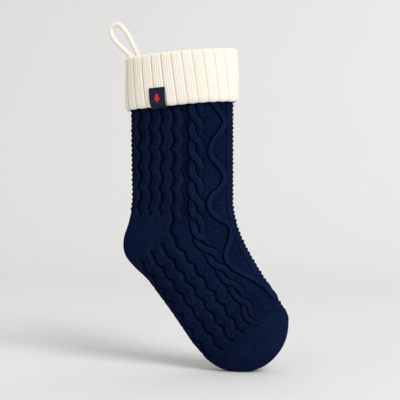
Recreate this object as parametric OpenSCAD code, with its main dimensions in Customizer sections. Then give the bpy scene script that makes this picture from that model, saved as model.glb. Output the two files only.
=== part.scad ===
// A knitted Christmas stocking: two cable-knit panels linked round their edge, a turned-down
// ribbed cuff, a lining, a hanging loop that swings on its stitches, and a folded woven label.
// Millimetres, +Z up. The toe points to +X and the front panel faces -Y. The origin is the
// centre of the peg that sits in the top of the hanging loop.

/* [Leg and foot] */
// Width of the leg, from the calf seam to the shin seam
leg_w = 146; // [130:1:160]
// Depth of the filled leg, front panel to back panel
leg_depth = 54; // [44:1:64]
// Thickness of the knitted panels
knit_t = 3; // [2:0.25:3.5]
// Radius of the round toe
toe_r = 68.5; // [67:0.5:71]

/* [Cuff] */
// Height of the turned-down cuff
cuff_h = 75; // [60:1:85]
// Thickness of the cuff's inner wall
cuff_t = 4; // [3:0.25:5]
// How far the fold stands out from the leg
cuff_out = 7; // [6:0.25:9]
// How much further the hem stands out than the fold
cuff_flare = 1.5; // [0:0.25:3]
// How much higher the shin side of the cuff is than the calf side
cuff_rise = 9; // [0:1:12]

/* [Lining] */
// Thickness of the lining cloth
lining_t = 0.8; // [0.6:0.1:1.2]

/* [Hanging loop] */
// Diameter of the loop's knitted cord
cord_d = 6.6; // [6:0.1:6.7]
// Diameter of the thread that tacks the loop to the cuff
tack_d = 1.2; // [0.8:0.1:1.6]

/* [Label] */
// Width of the woven label
label_w = 22; // [16:1:26]
// Height of the label above the hem
label_h = 26; // [22:1:34]
// Thickness of the label ribbon
label_t = 0.7; // [0.5:0.1:0.8]
// Lean of the label, along the cuff's ribs
label_lean = 5; // [0:1:8]

/* [Hidden] */

navy = [0.05, 0.09, 0.22];
ivory = [0.93, 0.89, 0.79];
lining_blue = [0.10, 0.14, 0.28];
red = [0.85, 0.06, 0.07];

// The peg's centre, measured from the leg's middle and the lowest point of the toe
peg = [-95, 485];

half_leg = leg_w / 2;
half_depth = leg_depth / 2;
// Half of the space between the panels' edges, which the seam yarn fills
seam_gap = 1.1;
seam_r = 1.0;
// How far inside the outline the seam yarn runs
seam_in = 0.6;

// Rows of the leg and foot, from the leg's top to the ball of the foot: the calf, heel or sole
// edge x and z, the shin or instep edge x and z, the half depth, and the exponent that shapes
// the section, where 0.5 is an ellipse.
leg_rows = [
    [-half_leg - 0.3, 384, half_leg, 384 + cuff_rise, half_depth, 0.50],
    [-half_leg - 0.3, 350, half_leg, 358, half_depth, 0.52],
    [-half_leg, 312, half_leg, 320, half_depth, 0.55],
    [-half_leg + 0.6, 274, half_leg, 284, half_depth, 0.58],
    [-half_leg + 0.7, 240, half_leg, 252, half_depth + 1, 0.60],
    [-half_leg - 4.4, 210, half_leg + 0.2, 234, half_depth + 2, 0.60],
    [-half_leg - 11.8, 184, half_leg + 3, 218, half_depth + 3, 0.60],
    [-half_leg - 9.6, 163, half_leg + 6.2, 205, half_depth + 3, 0.60],
    [-68, 145, half_leg + 9.8, 195, half_depth + 3, 0.60],
    [-49.6, 128.5, half_leg + 13.6, 186, half_depth + 2, 0.60],
    [-33, 107.5, 93, 173, half_depth + 2, 0.60],
    [-16.4, 86, 101.5, 158, half_depth + 1, 0.60],
    [1.2, 61.5, 117, 133, half_depth + 1, 0.60],
    [16.6, 40, 136, 104.5, half_depth + 1, 0.58]
];

// The toe is an arc. Its edges run from these angles to the tip, where they meet.
toe_c = [82.6, toe_r];
toe_sole_angle = 215;
toe_instep_angle = 11;
toe_tip_angle = 304;
toe_steps = [0, 0.16, 0.32, 0.48, 0.64, 0.8, 0.92, 0.975];

function toe_half(f) = (toe_sole_angle - toe_instep_angle) / 2 * (1 - f) + 180 * f;
function on_toe(angle) = toe_c + toe_r * [cos(angle), sin(angle)];
function toe_row(f) =
    let(sole = on_toe(toe_sole_angle + (toe_tip_angle - toe_sole_angle) * f),
        instep = on_toe(toe_instep_angle - (toe_instep_angle + 360 - toe_tip_angle) * f))
    [sole[0], sole[1], instep[0], instep[1], half_depth + 1, 0.56 - 0.06 * f];

rows = concat(leg_rows, [for (f = toe_steps) toe_row(f)]);
last_row = len(rows) - 1;
first_toe_row = len(leg_rows);

// Steps of the panels' grids: across a panel, and along it
across = 16;
along = 50;

function spline(a, b, c, d, f) =
    0.5 * (2 * b + (c - a) * f + (2 * a - 5 * b + 4 * c - d) * f * f
           + (3 * b - a - 3 * c + d) * f * f * f);

// The row at a place s between 0 and last_row
function row_at(s) =
    let(i = min(floor(s), last_row - 1))
    spline(rows[max(i - 1, 0)], rows[i], rows[i + 1], rows[min(i + 2, last_row)], s - i);

// A point of the outline: side 0 is the calf and sole, side 1 the shin and instep
function edge_at(s, side) = let(r = row_at(s)) [r[2 * side], r[2 * side + 1]];

function tangent(s, side) =
    let(step = 0.05,
        d = edge_at(min(s + step, last_row), side) - edge_at(max(s - step, 0), side))
    d / norm(d);

// The outline moved inwards by inset
function inset_edge(s, side, inset) =
    let(t = tangent(s, side), turn = side == 0 ? 1 : -1)
    edge_at(s, side) + inset * turn * [-t[1], t[0]];

// How much of the full depth a row keeps: the toe closes towards its tip
function closing(s) =
    s <= first_toe_row ? 1
    : let(r = row_at(s), first = rows[first_toe_row])
      norm([r[2] - r[0], r[3] - r[1]]) / norm([first[2] - first[0], first[3] - first[1]]);

// One row of points across the front face of a skin that lies inset below the outer surface
function skin_row(s, inset) =
    let(r = row_at(s), a = inset_edge(s, 0, inset), b = inset_edge(s, 1, inset),
        deep = (r[4] - inset) * closing(s))
    [for (j = [0:across])
        let(t = -cos(180 * j / across), m = (a + b) / 2 + t * (b - a) / 2)
        [m[0], -seam_gap - deep * pow(max(1 - t * t, 0), r[5]), m[1]]];

function skin(inset) = [for (i = [0:along]) skin_row(last_row * i / along, inset)];

function flat_list(grid) = [for (line = grid) for (p = line) p];

// A closed plate between two grids of points with the same rows and columns
module plate(upper, lower) {
    n = len(upper);
    m = len(upper[0]);
    size = n * m;
    faces = [
        for (i = [0:n - 2]) for (j = [0:m - 2]) each [
            [i * m + j, (i + 1) * m + j, (i + 1) * m + j + 1],
            [i * m + j, (i + 1) * m + j + 1, i * m + j + 1],
            [size + i * m + j, size + (i + 1) * m + j + 1, size + (i + 1) * m + j],
            [size + i * m + j, size + i * m + j + 1, size + (i + 1) * m + j + 1]],
        for (i = [0:n - 2]) each [
            [i * m, size + i * m, size + (i + 1) * m],
            [i * m, size + (i + 1) * m, (i + 1) * m],
            [i * m + m - 1, (i + 1) * m + m - 1, size + (i + 1) * m + m - 1],
            [i * m + m - 1, size + (i + 1) * m + m - 1, size + i * m + m - 1]],
        for (j = [0:m - 2]) each [
            [j, j + 1, size + j + 1],
            [j, size + j + 1, size + j],
            [(n - 1) * m + j, size + (n - 1) * m + j, size + (n - 1) * m + j + 1],
            [(n - 1) * m + j, size + (n - 1) * m + j + 1, (n - 1) * m + j + 1]]
    ];
    polyhedron(points = concat(flat_list(upper), flat_list(lower)), faces = faces, convexity = 8);
}

// A closed ring through sections that all have the same number of points
module ring(sections) {
    n = len(sections);
    m = len(sections[0]);
    faces = [
        for (i = [0:n - 1]) for (j = [0:m - 1])
            let(a = i * m, b = ((i + 1) % n) * m, k = (j + 1) % m) each [
                [a + j, b + j, b + k],
                [a + j, b + k, a + k]]
    ];
    polyhedron(points = flat_list(sections), faces = faces, convexity = 8);
}

// A tube of that radius along a path of [x, z] points in the plane of the seams
module tube(path, r, sides) {
    n = len(path);
    rings = [
        for (i = [0:n - 1])
            let(d = path[min(i + 1, n - 1)] - path[max(i - 1, 0)], u = d / norm(d))
            [for (k = [0:sides - 1])
                let(a = 360 * k / sides, out = r * cos(a))
                [path[i][0] - out * u[1], r * sin(a), path[i][1] + out * u[0]]]
    ];
    faces = [
        for (i = [0:n - 2]) for (k = [0:sides - 1])
            let(a = i * sides, b = (i + 1) * sides, l = (k + 1) % sides) each [
                [a + k, b + l, b + k],
                [a + k, a + l, b + l]],
        [for (k = [0:sides - 1]) sides - 1 - k],
        [for (k = [0:sides - 1]) (n - 1) * sides + k]
    ];
    polyhedron(points = flat_list(rings), faces = faces, convexity = 6);
}

// Moves the stocking so that the peg's centre is the origin
module hung() { translate([-peg[0], 0, -peg[1]]) children(); }

// ---- Panels and their seams

module skin_plate(outer, inner) { plate(skin(outer), skin(inner)); }

module front_panel() { color(navy) hung() skin_plate(0, knit_t); }

module back_panel() { color(navy) mirror([0, 1, 0]) hung() skin_plate(0, knit_t); }

function seam_path(side, from, to, steps, inset) =
    [for (i = [0:steps]) inset_edge(from + (to - from) * i / steps, side, inset)];

// The row where the calf seam gives way to the heel and sole seam
heel_row = 4.6;

module calf_seam() {
    color(navy) hung() tube(seam_path(0, 0, heel_row - 0.05, 24, seam_in), seam_r, 8);
}

module shin_seam() {
    color(navy) hung() tube(seam_path(1, 0, first_toe_row - 0.05, 44, seam_in), seam_r, 8);
}

module sole_seam() {
    sole = seam_path(0, heel_row + 0.05, last_row, 46, seam_in);
    toe = seam_path(1, last_row, first_toe_row + 0.05, 22, seam_in);
    color(navy) hung() tube(concat(sole, toe), seam_r, 8);
}

// ---- Cuff

hem_z = 375;
// How much the cuff rises for each millimetre across
slope = cuff_rise / leg_w;
// Heights above the hem: the leg's top edge, the joining seam and the cuff's inner edge
leg_top_h = 384 + cuff_rise / 2 - hem_z;
join_h = leg_top_h + seam_r + 0.2;
cuff_foot_h = join_h + seam_r + 0.2;
fold_r = (cuff_out + cuff_t) / 2;
fold_w = (cuff_out - cuff_t) / 2;
hem_r = 3.5;
// The slot between the cuff's two walls, measured out from the leg
slot_w = 1.5;
cuff_steps = 48;

// A point on the cuff: the angle round it, from the calf by way of the front, how far out from
// the leg's surface it lies, and its height above the hem
function cuff_point(angle, out, h) =
    let(x = -cos(angle) * (half_leg + out))
    [x, -sin(angle) * (half_depth + seam_gap + out), hem_z + h + slope * x];

cuff_out_at_hem = cuff_out + cuff_flare;
cuff_section = concat(
    [[-cuff_t, cuff_foot_h]],
    [for (a = [180:-30:0]) [fold_w + fold_r * cos(a), cuff_h - fold_r + fold_r * sin(a)]],
    [for (a = [0:-30:-90]) [cuff_out_at_hem - hem_r + hem_r * cos(a), hem_r + hem_r * sin(a)]],
    [[slot_w + 1, 0.8], [slot_w, 3], [slot_w, cuff_h - fold_r], [0, cuff_h - fold_r],
     [0, cuff_foot_h]]);

module around(section, steps) {
    ring([for (i = [0:steps - 1])
        [for (p = section) cuff_point(360 * i / steps, p[0], p[1])]]);
}

function small_circle(c, r) = [for (a = [0:45:315]) c + r * [-cos(a), sin(a)]];

module ribbed_cuff() { color(ivory) hung() around(cuff_section, cuff_steps); }

module cuff_join_seam() {
    color(navy) hung() around(small_circle([-seam_in - seam_r, join_h], seam_r), cuff_steps);
}

// ---- Lining

lining_clear = 0.4;
lining_in = knit_t + lining_clear;
lining_mid = lining_in + lining_t / 2;

module lining_front() { color(lining_blue) hung() skin_plate(lining_in, lining_in + lining_t); }

module lining_back() {
    color(lining_blue) mirror([0, 1, 0]) hung() skin_plate(lining_in, lining_in + lining_t);
}

module lining_seam() {
    down = seam_path(0, 0, last_row, 44, lining_mid);
    up = seam_path(1, last_row, 0, 40, lining_mid);
    color(lining_blue) hung() tube(concat(down, up), 0.5, 6);
}

module lining_top_stitch() {
    color(lining_blue) hung()
        around(small_circle([-lining_mid, leg_top_h + 0.9], 0.6), cuff_steps);
}

// ---- Hanging loop

cord_r = cord_d / 2;
// The loop's two tails stand side by side inside the calf end of the cuff
tail_x = [-65.2, -58.2];
tail_foot_z = 412;
tail_top_z = 440.6;
tack_z = 419;
// The swing's pivot, where the two legs of the loop come together
pivot = [-61.7, 447.8];
knuckle_r = 6;

// The cord's middle line from the right leg's root, over the top, to the foot of the left leg
loop_route = [
    [-61.5, 447], [-66, 453.8], [-72.8, 464.5], [-80.4, 479.5], [-87.4, 491], [-96.3, 495.8],
    [-104.6, 491.2], [-106.3, 482.5], [-102, 472], [-92.2, 461], [-80.6, 453.4], [-71.5, 449.8]
];
// The foot of the left leg runs on into the knuckle
left_foot = [[-73, 450.6], [-63.5, 447.4]];

function route_at(s) =
    let(n = len(loop_route) - 1, i = min(floor(s), n - 1))
    spline(loop_route[max(i - 1, 0)], loop_route[i], loop_route[i + 1],
           loop_route[min(i + 2, n)], s - i);

module lying_along_y(length, r) {
    rotate([90, 0, 0]) cylinder(h = length, r = r, center = true, $fn = 48);
}

module hanging_loop() {
    turns = 4 * (len(loop_route) - 1);
    color(ivory) hung() {
        tube([for (i = [0:turns]) route_at(i / 4)], cord_r, 10);
        tube(left_foot, cord_r - 0.1, 10);
        translate([pivot[0], 0, pivot[1]]) lying_along_y(cord_d + 0.4, knuckle_r);
    }
}

tack_clear = 0.08;

module along_x(x0, x1, z, r) {
    translate([x0, 0, z]) rotate([0, 90, 0]) cylinder(h = x1 - x0, r = r, $fn = 32);
}

module loop_tails() {
    color(ivory) hung() difference() {
        for (x = tail_x)
            translate([x, 0, tail_foot_z])
                cylinder(h = tail_top_z - tail_foot_z, r = cord_r, $fn = 48);
        along_x(-80, -40, tack_z, tack_d / 2 + tack_clear);
    }
}

// The tack thread goes from the cuff's inner wall through both tails to a knot
module loop_tack() {
    knot_x = tail_x[1] + cord_r + 1.6;
    color(ivory) hung() {
        along_x(-half_leg + cuff_t - 2, knot_x, tack_z, tack_d / 2);
        translate([knot_x, 0, tack_z]) sphere(r = 1.3, $fn = 24);
    }
}

// ---- Label

// The middle of the label round the cuff
label_angle = 71;
label_clear = 0.3;
// The cuff's outer face at a height above the hem
function cuff_face(h) = cuff_out + cuff_flare * (cuff_h - fold_r - h) / (cuff_h - fold_r - hem_r);

// The label's inner face, from its top edge down, under the hem and up behind it
label_line = concat(
    [for (h = [label_h, label_h * 0.66, label_h * 0.33, hem_r + 1])
        [cuff_face(h) + label_clear, h]],
    [for (a = [0:-30:-90])
        let(r = hem_r + label_clear)
        [cuff_out_at_hem - hem_r + r * cos(a), hem_r + r * sin(a)]],
    [[slot_w + 0.6, 0.8 - label_clear - 0.2], [slot_w - label_clear, 3],
     [slot_w - label_clear, 6]]);

// Half of the label's width as an angle round the cuff's front
function label_reach(width) = width / 2 / (half_leg + cuff_out) / sin(label_angle) * 180 / PI;

function label_grid(out) =
    let(n = len(label_line), reach = label_reach(label_w), columns = 8)
    [for (k = [0:columns])
        [for (i = [0:n - 1])
            let(a = label_line[max(i - 1, 0)], b = label_line[min(i + 1, n - 1)],
                u = (b - a) / norm(b - a),
                p = label_line[i] + out * [-u[1], u[0]],
                lean = label_reach(2 * p[1] * tan(label_lean)))
            cuff_point(label_angle - reach + 2 * reach * k / columns - lean, p[0], p[1])]];

module woven_label() { color(navy) hung() plate(label_grid(label_t), label_grid(0)); }

// Places its children on the label's face: x to the right, y up, z out
module on_label(h) {
    mid = label_angle - label_reach(2 * h * tan(label_lean));
    p = cuff_point(mid, cuff_face(h) + label_clear + label_t, h);
    tangent_angle = atan2(-cos(mid) * (half_depth + cuff_out), sin(mid) * (half_leg + cuff_out));
    translate(p) rotate([0, 0, tangent_angle]) rotate([90, 0, 0]) rotate([0, 0, label_lean])
        children();
}

// Three rows of boughs over a trunk
module fir_tree() {
    for (row = [0:2])
        translate([0, 2.6 * row])
            polygon([[-4.4 + row * 0.9, 0], [4.4 - row * 0.9, 0], [0, 4.6]]);
    translate([-0.9, -2]) square([1.8, 2.2]);
}

module label_emblem() {
    color(red) hung() on_label(11.5) translate([0, -3, -0.3]) linear_extrude(0.6) fir_tree();
}

// A row of short stitches along the label's top edge
module label_stitch() {
    count = 7;
    pitch = (label_w - 3) / count;
    color(navy) hung() on_label(label_h - 1.6)
        for (i = [0:count - 1])
            translate([(i - (count - 1) / 2) * pitch - pitch * 0.35, 0, 0.1])
                rotate([0, 90, 0]) cylinder(h = pitch * 0.7, r = 0.35, $fn = 16);
}

front_panel();
back_panel();
calf_seam();
sole_seam();
shin_seam();
ribbed_cuff();
cuff_join_seam();
lining_front();
lining_back();
lining_seam();
lining_top_stitch();
loop_tails();
hanging_loop();
loop_tack();
woven_label();
label_emblem();
label_stitch();
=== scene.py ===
import math

import bpy
import numpy as np
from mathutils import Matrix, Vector


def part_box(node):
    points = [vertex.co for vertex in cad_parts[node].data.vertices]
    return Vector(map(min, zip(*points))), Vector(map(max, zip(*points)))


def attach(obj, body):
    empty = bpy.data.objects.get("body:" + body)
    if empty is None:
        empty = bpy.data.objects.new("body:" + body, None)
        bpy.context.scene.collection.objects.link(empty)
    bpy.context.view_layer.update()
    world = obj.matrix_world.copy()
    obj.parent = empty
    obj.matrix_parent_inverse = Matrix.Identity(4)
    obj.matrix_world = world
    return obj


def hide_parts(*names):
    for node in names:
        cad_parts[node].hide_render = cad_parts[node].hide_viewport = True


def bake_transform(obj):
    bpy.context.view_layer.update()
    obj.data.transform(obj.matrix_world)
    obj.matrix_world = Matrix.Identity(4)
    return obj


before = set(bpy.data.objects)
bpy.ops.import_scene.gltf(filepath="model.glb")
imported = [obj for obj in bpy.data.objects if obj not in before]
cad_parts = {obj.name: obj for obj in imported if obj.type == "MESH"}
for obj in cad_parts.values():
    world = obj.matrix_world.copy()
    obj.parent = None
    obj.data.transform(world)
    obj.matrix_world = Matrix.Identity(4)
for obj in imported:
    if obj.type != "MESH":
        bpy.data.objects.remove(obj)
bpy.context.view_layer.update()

# ===== Places in the frame =====
# The design is drawn in millimetres from the leg's middle and from the lowest point of the toe;
# leg_to_frame turns such points into the frame's metres.

MM = 0.001
TAU = 2 * math.pi
cuff_lo, cuff_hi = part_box("ribbed_cuff")
LEG_X = (cuff_lo[0] + cuff_hi[0]) / 2
TOE_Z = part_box("front_panel")[0][2]


def leg_to_frame(points):
    """Millimetre points (x, y, z) of the design, as metres in the frame."""
    return np.asarray(points, float) * MM + np.array([LEG_X, 0.0, TOE_Z])


# ===== Camera =====

CAMERA_AZIMUTH = math.radians(12)
CAMERA_DISTANCE = 1.345
CAMERA_LENS = 85
CAMERA_TARGET = Vector((LEG_X + 0.0264, 0, TOE_Z + 0.2413))
CAMERA_BACK = Vector((math.sin(CAMERA_AZIMUTH), -math.cos(CAMERA_AZIMUTH), 0))
CAMERA_RIGHT = Vector((math.cos(CAMERA_AZIMUTH), math.sin(CAMERA_AZIMUTH), 0))


def add_object(name, data):
    item = bpy.data.objects.new(name, data)
    bpy.context.scene.collection.objects.link(item)
    return item


def add_camera():
    data = bpy.data.cameras.new("camera")
    data.lens = CAMERA_LENS
    camera = add_object("camera", data)
    camera.location = CAMERA_TARGET + CAMERA_DISTANCE * CAMERA_BACK
    camera.rotation_euler = (math.radians(90), 0, CAMERA_AZIMUTH)
    bpy.context.scene.camera = camera


add_camera()

# ===== Meshes =====


def add_mesh(name, points, faces, uv=None, attributes=None):
    """A smooth object. uv holds one (u, v) for each point, or for each corner of each face."""
    mesh = bpy.data.meshes.new(name)
    mesh.from_pydata(np.asarray(points, float).tolist(), [], faces)
    mesh.polygons.foreach_set("use_smooth", [True] * len(mesh.polygons))
    if uv is not None:
        uv = corner_values(faces, uv) if len(uv) == len(points) else uv
        mesh.uv_layers.new(name="knit").data.foreach_set("uv", np.asarray(uv, float).ravel())
    for key, values in (attributes or {}).items():
        layer = mesh.attributes.new(key, "FLOAT", "POINT")
        layer.data.foreach_set("value", np.asarray(values, float))
    mesh.validate()
    mesh.update()
    return add_object(name, mesh)


def grid_faces(rows, columns, wrap_rows=False, wrap_columns=False, start=0):
    """Quads over a grid of points stored row by row."""
    i = np.arange(rows if wrap_rows else rows - 1)[:, None]
    j = np.arange(columns if wrap_columns else columns - 1)[None, :]
    k, m = (i + 1) % rows, (j + 1) % columns
    quads = np.stack([i * columns + j, i * columns + m, k * columns + m, k * columns + j], -1)
    return (quads.reshape(-1, 4) + start).tolist()


def catmull(points, f):
    """Points of the smooth curve through the given ones, at places f from 0 to the last index."""
    points = np.asarray(points, float)
    last = len(points) - 1
    f = np.clip(np.asarray(f, float), 0, last)
    i = np.minimum(np.floor(f).astype(int), last - 1)
    g = (f - i)[..., None]
    a, b = points[np.maximum(i - 1, 0)], points[i]
    c, d = points[i + 1], points[np.minimum(i + 2, last)]
    return 0.5 * (2 * b + (c - a) * g + (2 * a - 5 * b + 4 * c - d) * g**2
                  + (3 * b - a - 3 * c + d) * g**3)


def path_lengths(points):
    steps = np.linalg.norm(np.diff(points, axis=0), axis=1)
    return np.concatenate([[0], np.cumsum(steps)])


def resample(points, step):
    """The same path with points an even distance apart, as near to step as fits."""
    along = path_lengths(points)
    count = max(int(round(along[-1] / step)), 2)
    places = np.linspace(0, along[-1], count + 1)
    return np.stack([np.interp(places, along, points[:, k]) for k in range(points.shape[1])], 1)


def smooth_path(points, step):
    dense = catmull(points, np.linspace(0, len(points) - 1, 24 * len(points)))
    return resample(dense, step)


def unit(vectors):
    return vectors / np.maximum(np.linalg.norm(vectors, axis=-1, keepdims=True), 1e-12)


def around(grid, axis=0):
    """Differences between neighbours in a grid that closes on itself along the axis."""
    return np.roll(grid, -1, axis) - np.roll(grid, 1, axis)


def tangents(path, closed=False):
    return unit(around(path) if closed else np.gradient(path, axis=0))


def circle(count):
    return np.arange(count) / count * TAU


def smoothstep(low, high, x):
    f = np.clip((np.asarray(x, float) - low) / (high - low), 0, 1)
    return f * f * (3 - 2 * f)


def bell(x, width):
    """1 where x is 0, falling off on both sides."""
    return np.exp(-(x / width) ** 2)


def tube_points(path, radius, sides, side_axis=(0, 1, 0), closed=False):
    """Rings of points round a path. radius is a number or one number for each ring and side."""
    t = tangents(path, closed)
    a = np.asarray(side_axis, float)
    a = unit(a - (t @ a)[:, None] * t)
    b = np.cross(t, a)
    angle = circle(sides)
    radius = np.broadcast_to(np.asarray(radius, float), (len(path), sides))
    spread = np.cos(angle)[None, :, None] * a[:, None] + np.sin(angle)[None, :, None] * b[:, None]
    return path[:, None] + radius[..., None] * spread


def tube_faces(rings, sides, closed=False, start=0):
    faces = grid_faces(rings, sides, wrap_rows=closed, wrap_columns=True, start=start)
    if not closed:
        faces.append([start + k for k in range(sides)][::-1])
        faces.append([start + (rings - 1) * sides + k for k in range(sides)])
    return faces


def corner_values(faces, values):
    """The values of the points at each corner of each face, in face order."""
    return np.asarray(values)[np.concatenate(faces)]


def closed_uv(faces, u, v, turn):
    """Corner values for a grid that closes on itself after its last column, turn further on."""
    uv = corner_values(faces, np.stack([u, v], -1).reshape(-1, 2))
    columns = u.shape[1]
    rings = len(uv) // (4 * columns)
    quads = uv[:4 * rings * columns].reshape(rings, columns, 4, 2)
    quads[:, -1, 1:3, 0] += turn
    return uv, quads


# ===== Materials =====


class Value:
    """What a shader socket gives, for use in sums."""

    def __init__(self, shader, socket):
        self.shader, self.socket = shader, socket

    def __add__(self, other):
        return self.shader.math("ADD", self, other)

    def __sub__(self, other):
        return self.shader.math("SUBTRACT", self, other)

    def __rsub__(self, other):
        return self.shader.math("SUBTRACT", other, self)

    def __mul__(self, other):
        return self.shader.math("MULTIPLY", self, other)


class Shader:
    """Builds one procedural material around a Principled shader."""

    def __init__(self, name, sheen=0.0, specular=0.02):
        self.material = bpy.data.materials.new(name)
        self.material.use_nodes = True
        self.tree = self.material.node_tree
        self.bsdf = self.tree.nodes["Principled BSDF"]
        self.set("Sheen Weight", sheen)
        self.set("Specular IOR Level", specular)

    def set(self, name, value):
        """Gives the Principled shader's input a plain value or another node's value."""
        self.plug(value, self.bsdf.inputs[name])

    def plug(self, value, socket):
        if isinstance(value, Value):
            self.tree.links.new(value.socket, socket)
        else:
            socket.default_value = value

    def node(self, kind, inputs=None, output=0, **settings):
        """The value of a new node. inputs and output go by number or by name."""
        node = self.tree.nodes.new("ShaderNode" + kind)
        for key, setting in settings.items():
            setattr(node, key, setting)
        for key, value in (inputs or {}).items():
            self.plug(value, node.inputs[key])
        return Value(self, node.outputs[output])

    def math(self, operation, *values):
        return self.node("Math", dict(enumerate(values)), operation=operation)

    def clamp(self, value, high=1.0):
        return self.math("MINIMUM", self.math("MAXIMUM", value, 0.0), high)

    def mix(self, factor, a, b):
        """A number between a and b."""
        return self.node("Mix", {0: factor, 2: a, 3: b})

    def blend(self, factor, a, b):
        """A colour between a and b."""
        return self.node("Mix", {0: factor, 6: a, 7: b}, 2, data_type="RGBA")

    def attribute(self, name):
        return self.node("Attribute", output="Fac", attribute_name=name)

    def noise(self, scale, detail=2.0, roughness=0.5):
        """Noise from 0 to 1 in the object's own space, with scale features in a metre."""
        place = self.node("TexCoord", output="Object")
        inputs = {"Vector": place, "Scale": scale, "Detail": detail, "Roughness": roughness}
        return self.node("TexNoise", inputs, "Fac")

    def uneven(self, amount, *noise):
        """Noise from minus to plus half the amount."""
        return (self.noise(*noise) - 0.5) * amount

    def uv(self, wander=0.0):
        """The stitch counts u and v, moved about a little by uneven tension."""
        both = self.node("UVMap", uv_map="knit")
        uv = [self.node("SeparateXYZ", {0: both}, k) for k in (0, 1)]
        return [k + self.uneven(wander, TENSION) for k in uv] if wander else uv

    def cell_noise(self, u, v):
        """One random number for each stitch."""
        place = self.node("CombineXYZ", {0: self.math("FLOOR", u), 1: self.math("FLOOR", v)})
        return self.node("TexWhiteNoise", {"Vector": place}, "Value", noise_dimensions="2D")

    def half_circle(self, x):
        """1 where x is 0, falling to 0 where x is 1 or -1."""
        return self.math("SQRT", self.math("MAXIMUM", 1.0 - x * x, 0.0))

    def dome(self, x):
        """A half circle over each unit of x."""
        return self.half_circle(self.math("FRACT", x) * 2.0 - 1.0)

    def plain_stitch(self, u, v):
        """Height of stocking stitch: columns of V shapes, one column for each unit of u."""
        side = self.math("ABSOLUTE", self.math("FRACT", u) - 0.5)
        leg = self.math("DIVIDE", side - 0.25, 0.27)
        return self.dome(v + side * 1.5) * self.half_circle(leg)

    def purl_stitch(self, u, v):
        """Height of reverse stocking stitch: rows of small arcs."""
        row = v + self.math("SINE", u * TAU) * 0.12
        return self.dome(row) * (self.math("COSINE", u * (2 * TAU)) * 0.25 + 0.75)

    def yarn_colour(self, height, tones, u, v, grain=0.0):
        """Painted shade in the gaps and painted highlight on the tops, with uneven dye and stray
        light fibres.
        """
        painted_shading, middle, light = tones
        tone = height * 0.75 + self.cell_noise(u, v) * 0.22
        tone = tone + self.uneven(0.5, DYE, 3.0) + self.uneven(0.35, FIBRES)
        if grain:
            tone = tone + self.uneven(grain, CLUMPS, 3.0, 0.6)
        colour = self.blend(self.clamp(tone * 2.0), painted_shading, middle)
        return self.blend(self.clamp(tone - 0.55), colour, light)

    def finish(self, colour, height, low_rough, top_rough, relief, *fuzz):
        """Joins the colour, the roughness and a relief in millimetres, with noise as fuzz."""
        self.set("Base Color", colour)
        self.set("Roughness", self.mix(height, low_rough, top_rough))
        if fuzz:
            height = height + self.noise(*fuzz) * 0.3
        bump = {"Strength": 1.0, "Distance": relief * MM, "Height": height}
        self.set("Normal", self.node("Bump", bump))
        return self.material


def colours(*all_rgb):
    return [(*rgb, 1.0) for rgb in all_rgb]


# Noise features in a metre
DYE, TENSION, CLUMPS, FIBRES, KNIT_FUZZ, YARN_FUZZ = 14.0, 260.0, 560.0, 1500.0, 2600.0, 3000.0

# Each yarn's tones: painted shade down in the gaps, the yarn's own colour in the middle, and
# painted highlight on top
NAVY = colours((0.0008, 0.0020, 0.0090), (0.0050, 0.0115, 0.0430), (0.0155, 0.0300, 0.0900))
IVORY = colours((0.680, 0.580, 0.400), (0.905, 0.872, 0.788), (0.930, 0.912, 0.852))
LINING = colours((0.006, 0.009, 0.026), (0.014, 0.020, 0.055), (0.026, 0.035, 0.085))
LABEL = colours((0.004, 0.007, 0.018), (0.010, 0.015, 0.036), (0.019, 0.026, 0.054))
LABEL_STITCH = colours((0.006, 0.008, 0.018), (0.016, 0.020, 0.042), (0.030, 0.036, 0.065))
RED = colours((0.35, 0.006, 0.010), (0.78, 0.012, 0.018), (0.92, 0.05, 0.05))
SHEEN_BLUE = (0.45, 0.60, 1.0, 1.0)
NAVY_SHEEN = 0.002


def navy_knit():
    """Cable-knit yarn: stocking stitch, with purl stitch where the attribute ground is 1."""
    s = Shader("navy_cable_knit", NAVY_SHEEN, specular=0.0)
    s.set("Sheen Tint", SHEEN_BLUE)
    u, v = s.uv(0.3)
    height = s.mix(s.attribute("ground"), s.plain_stitch(u, v), s.purl_stitch(u, v))
    lined = s.attribute("lined")
    height = s.mix(lined * 0.7, height, s.dome(v)) + lined * ((s.dome(v) - 0.78) * 0.8)
    colour = s.yarn_colour(height, NAVY, u, v, 2.3)
    # Painted highlight where the knit stands up and painted shade where it lies low
    colour = s.blend(s.clamp(s.attribute("painted_relief_shading") * -0.7, 0.45), colour, NAVY[2])
    colour = s.blend(s.clamp(s.attribute("painted_relief_shading") * 0.85, 0.85), colour, NAVY[0])
    return s.finish(colour, height, 0.97, 0.82, 2.0, KNIT_FUZZ, 3.0)


def ivory_knit(name, relief):
    s = Shader(name, 0.05)
    u, v = s.uv(0.12)
    height = s.plain_stitch(u, v)
    colour = s.yarn_colour(height, IVORY, u, v)
    # Painted shade in the rib grooves and the valleys between wales
    colour = s.blend(s.attribute("painted_groove_shade") * 0.8, colour, IVORY[0])
    return s.finish(colour, height, 0.95, 0.80, relief, KNIT_FUZZ, 3.0)


def plied_yarn(name, tones, turn=0.9, sheen=0.15, specular=0.02):
    """Yarn or thread, seen as slanted plies. u runs round it and v along it."""
    s = Shader(name, sheen, specular)
    u, v = s.uv()
    plies = s.dome(u * 2.0 + v * turn)
    return s.finish(s.yarn_colour(plies, tones, u, v), plies, 0.95, 0.75, 0.3, YARN_FUZZ)


def plain_weave(name, tones, relief):
    """u counts the warp threads and v the weft threads."""
    s = Shader(name, 0.1)
    u, v = s.uv()
    over = s.math("FRACT", (s.math("FLOOR", u) + s.math("FLOOR", v)) * 0.5)
    height = s.mix(s.math("GREATER_THAN", over, 0.25), s.dome(u), s.dome(v))
    return s.finish(s.yarn_colour(height, tones, u, v), height, 0.92, 0.68, relief)


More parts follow.
